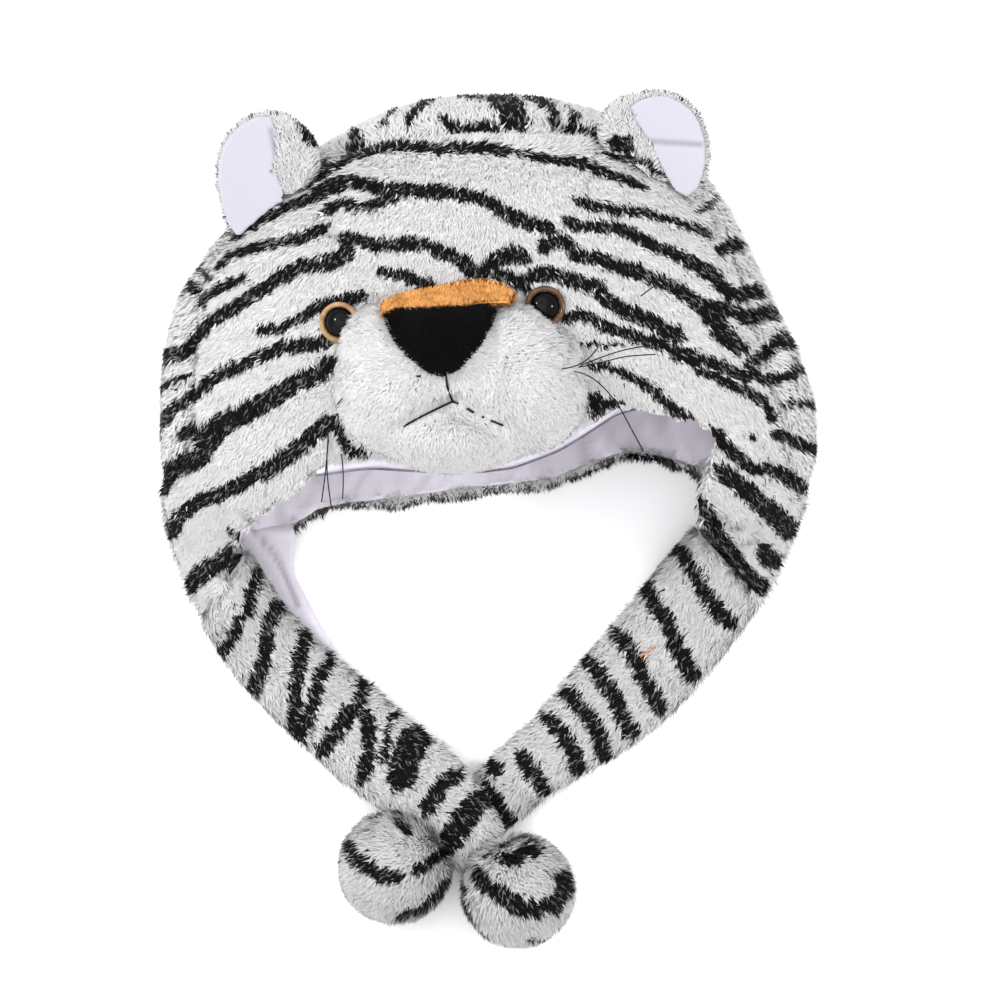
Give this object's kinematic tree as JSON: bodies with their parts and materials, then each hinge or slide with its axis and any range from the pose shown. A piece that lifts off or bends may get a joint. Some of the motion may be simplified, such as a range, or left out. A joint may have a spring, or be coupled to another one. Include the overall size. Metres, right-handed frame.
{
  "type": "plush animal hat",
  "caption": "Plush winter hat shaped as a striped wild cat's head, with padded muzzle, ears, side flaps and long straps that end in stuffed balls.",
  "frame": {"origin": "middle of the flat patch of the back panel that the hat lies on, which is on the hat's middle line", "axes": "+X across the face towards the viewer's right, +Y from the opening to the top of the crown, +Z out of the face, up from the surface that the hat lies on"},
  "size_m": [0.2774, 0.359, 0.1422],
  "materials": {
    "striped_plush": "short plush pile, white with ragged black stripes",
    "white_plush": "short white plush pile",
    "black_plush": "very short black plush pile",
    "orange_plush": "short orange plush pile",
    "ear_cloth": "smooth pale lilac knit",
    "lining_cloth": "smooth lilac grey knit",
    "eye_ring": "glossy tan brown",
    "pupil": "glossy black"
  },
  "bodies": {
    "root": {"back_panel": "striped_plush", "forehead_panel": "striped_plush", "side_panel_left": "striped_plush", "side_panel_right": "striped_plush", "lining": "lining_cloth", "ear_left": "striped_plush", "ear_inner_left": "ear_cloth", "ear_right": "striped_plush", "ear_inner_right": "ear_cloth", "muzzle": "white_plush", "chin": "white_plush", "nose": "black_plush", "nose_band": "orange_plush", "eye_ring_left": "eye_ring", "pupil_left": "pupil", "eye_ring_right": "eye_ring", "pupil_right": "pupil", "strap_left": "striped_plush", "strap_right": "striped_plush", "ball_left": "striped_plush", "ball_right": "striped_plush", "flap_lining_left": "lining_cloth"}
  },
  "joints": []
}
